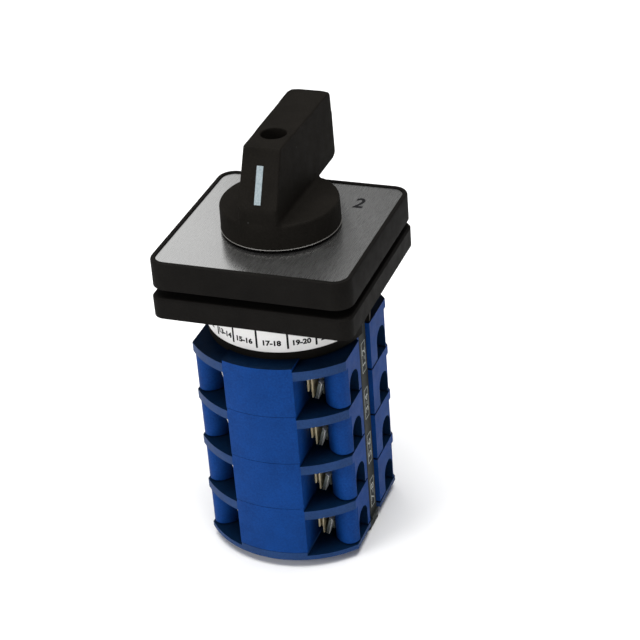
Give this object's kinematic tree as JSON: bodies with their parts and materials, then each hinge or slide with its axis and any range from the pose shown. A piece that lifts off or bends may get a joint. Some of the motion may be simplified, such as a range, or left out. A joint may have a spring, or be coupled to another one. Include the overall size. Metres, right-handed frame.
{
  "type": "cam switch",
  "caption": "Panel-mounted rotary cam switch: lever handle on a square plate over a stack of blue contact stages with side wire entries.",
  "frame": {"origin": "on the shaft's axis in the rear cover's outer face, which the switch stands on", "axes": "+Z along the shaft towards the handle, -Y towards the side with the handle's indicator line, +X to the right of that side"},
  "size_m": [0.048, 0.0486, 0.1041],
  "materials": {
    "blue_plastic": "moulded blue thermoplastic, slight sheen",
    "black_plastic": "fine-textured black moulding",
    "strip_plastic": "dark grey-green moulded strip",
    "label_film": "white printed film",
    "indicator_paint": "pale inlaid line",
    "aluminium": "brushed sheet under clear lacquer",
    "steel": "bright zinc-plated steel",
    "brass": "stamped brass",
    "cam_plastic": "natural moulded plastic"
  },
  "bodies": {
    "switch_body": {"rear_cover": "blue_plastic", "stage_4": "blue_plastic", "stage_3": "blue_plastic", "stage_2": "blue_plastic", "stage_1": "blue_plastic", "detent_housing": "black_plastic", "rating_label": "label_film", "mounting_plate": "black_plastic", "front_frame": "black_plastic", "label_plate": "aluminium", "side_strip_left": "strip_plastic", "side_strip_right": "strip_plastic", "tie_bolt_front": "steel", "tie_bolt_rear": "steel", "terminal_1_right_front": "brass", "terminal_1_right_rear": "brass", "terminal_1_left_front": "brass", "terminal_1_left_rear": "brass", "terminal_2_right_front": "brass", "terminal_2_right_rear": "brass", "terminal_2_left_front": "brass", "terminal_2_left_rear": "brass", "terminal_3_right_front": "brass", "terminal_3_right_rear": "brass", "terminal_3_left_front": "brass", "terminal_3_left_rear": "brass", "terminal_4_right_front": "brass", "terminal_4_right_rear": "brass", "terminal_4_left_front": "brass", "terminal_4_left_rear": "brass"},
    "rotor": {"handle": "black_plastic", "handle_indicator": "indicator_paint", "handle_screw": "steel", "switch_shaft": "steel", "detent_wheel": "cam_plastic", "cam_1": "cam_plastic", "cam_2": "cam_plastic", "cam_3": "cam_plastic", "cam_4": "cam_plastic"},
    "contact_1_right": {"plunger_1_right": "cam_plastic", "moving_contact_1_right": "brass"},
    "contact_1_left": {"plunger_1_left": "cam_plastic", "moving_contact_1_left": "brass"},
    "contact_2_right": {"plunger_2_right": "cam_plastic", "moving_contact_2_right": "brass"},
    "contact_2_left": {"plunger_2_left": "cam_plastic", "moving_contact_2_left": "brass"},
    "contact_3_right": {"plunger_3_right": "cam_plastic", "moving_contact_3_right": "brass"},
    "contact_3_left": {"plunger_3_left": "cam_plastic", "moving_contact_3_left": "brass"},
    "contact_4_right": {"plunger_4_right": "cam_plastic", "moving_contact_4_right": "brass"},
    "contact_4_left": {"plunger_4_left": "cam_plastic", "moving_contact_4_left": "brass"},
    "detent_left": {"detent_roller_left": "steel"},
    "detent_right": {"detent_roller_right": "steel"}
  },
  "joints": [
    {"name": "handle_turn", "type": "hinge", "parent": "switch_body", "child": "rotor", "pos_m": [0, 0, 0.0809], "axis": [0, 0, 1], "range_deg": [-45, 45]},
    {"name": "contact_1_right_slide", "type": "slide", "parent": "switch_body", "child": "contact_1_right", "axis": [1, 0, 0], "range_m": [-0.001, 0.001]},
    {"name": "contact_1_left_slide", "type": "slide", "parent": "switch_body", "child": "contact_1_left", "axis": [1, 0, 0], "range_m": [-0.001, 0.001]},
    {"name": "contact_2_right_slide", "type": "slide", "parent": "switch_body", "child": "contact_2_right", "axis": [1, 0, 0], "range_m": [-0.001, 0.001]},
    {"name": "contact_2_left_slide", "type": "slide", "parent": "switch_body", "child": "contact_2_left", "axis": [1, 0, 0], "range_m": [-0.001, 0.001]},
    {"name": "contact_3_right_slide", "type": "slide", "parent": "switch_body", "child": "contact_3_right", "axis": [1, 0, 0], "range_m": [-0.001, 0.001]},
    {"name": "contact_3_left_slide", "type": "slide", "parent": "switch_body", "child": "contact_3_left", "axis": [1, 0, 0], "range_m": [-0.001, 0.001]},
    {"name": "contact_4_right_slide", "type": "slide", "parent": "switch_body", "child": "contact_4_right", "axis": [1, 0, 0], "range_m": [-0.001, 0.001]},
    {"name": "contact_4_left_slide", "type": "slide", "parent": "switch_body", "child": "contact_4_left", "axis": [1, 0, 0], "range_m": [-0.001, 0.001]},
    {"name": "detent_left_slide", "type": "slide", "parent": "switch_body", "child": "detent_left", "axis": [-1, 0, 0], "range_m": [0, 0.0009], "stiffness_N_per_m": 100},
    {"name": "detent_right_slide", "type": "slide", "parent": "switch_body", "child": "detent_right", "axis": [1, 0, 0], "range_m": [0, 0.0009], "stiffness_N_per_m": 100}
  ],
  "couplings": [
    {"joint": "contact_1_right_slide", "follows": "handle_turn", "m_per_rad": -0.00127},
    {"joint": "contact_1_left_slide", "follows": "handle_turn", "m_per_rad": -0.00127},
    {"joint": "contact_2_right_slide", "follows": "handle_turn", "m_per_rad": 0.00127},
    {"joint": "contact_2_left_slide", "follows": "handle_turn", "m_per_rad": 0.00127},
    {"joint": "contact_3_right_slide", "follows": "handle_turn", "m_per_rad": -0.00127},
    {"joint": "contact_3_left_slide", "follows": "handle_turn", "m_per_rad": -0.00127},
    {"joint": "contact_4_right_slide", "follows": "handle_turn", "m_per_rad": 0.00127},
    {"joint": "contact_4_left_slide", "follows": "handle_turn", "m_per_rad": 0.00127}
  ]
}
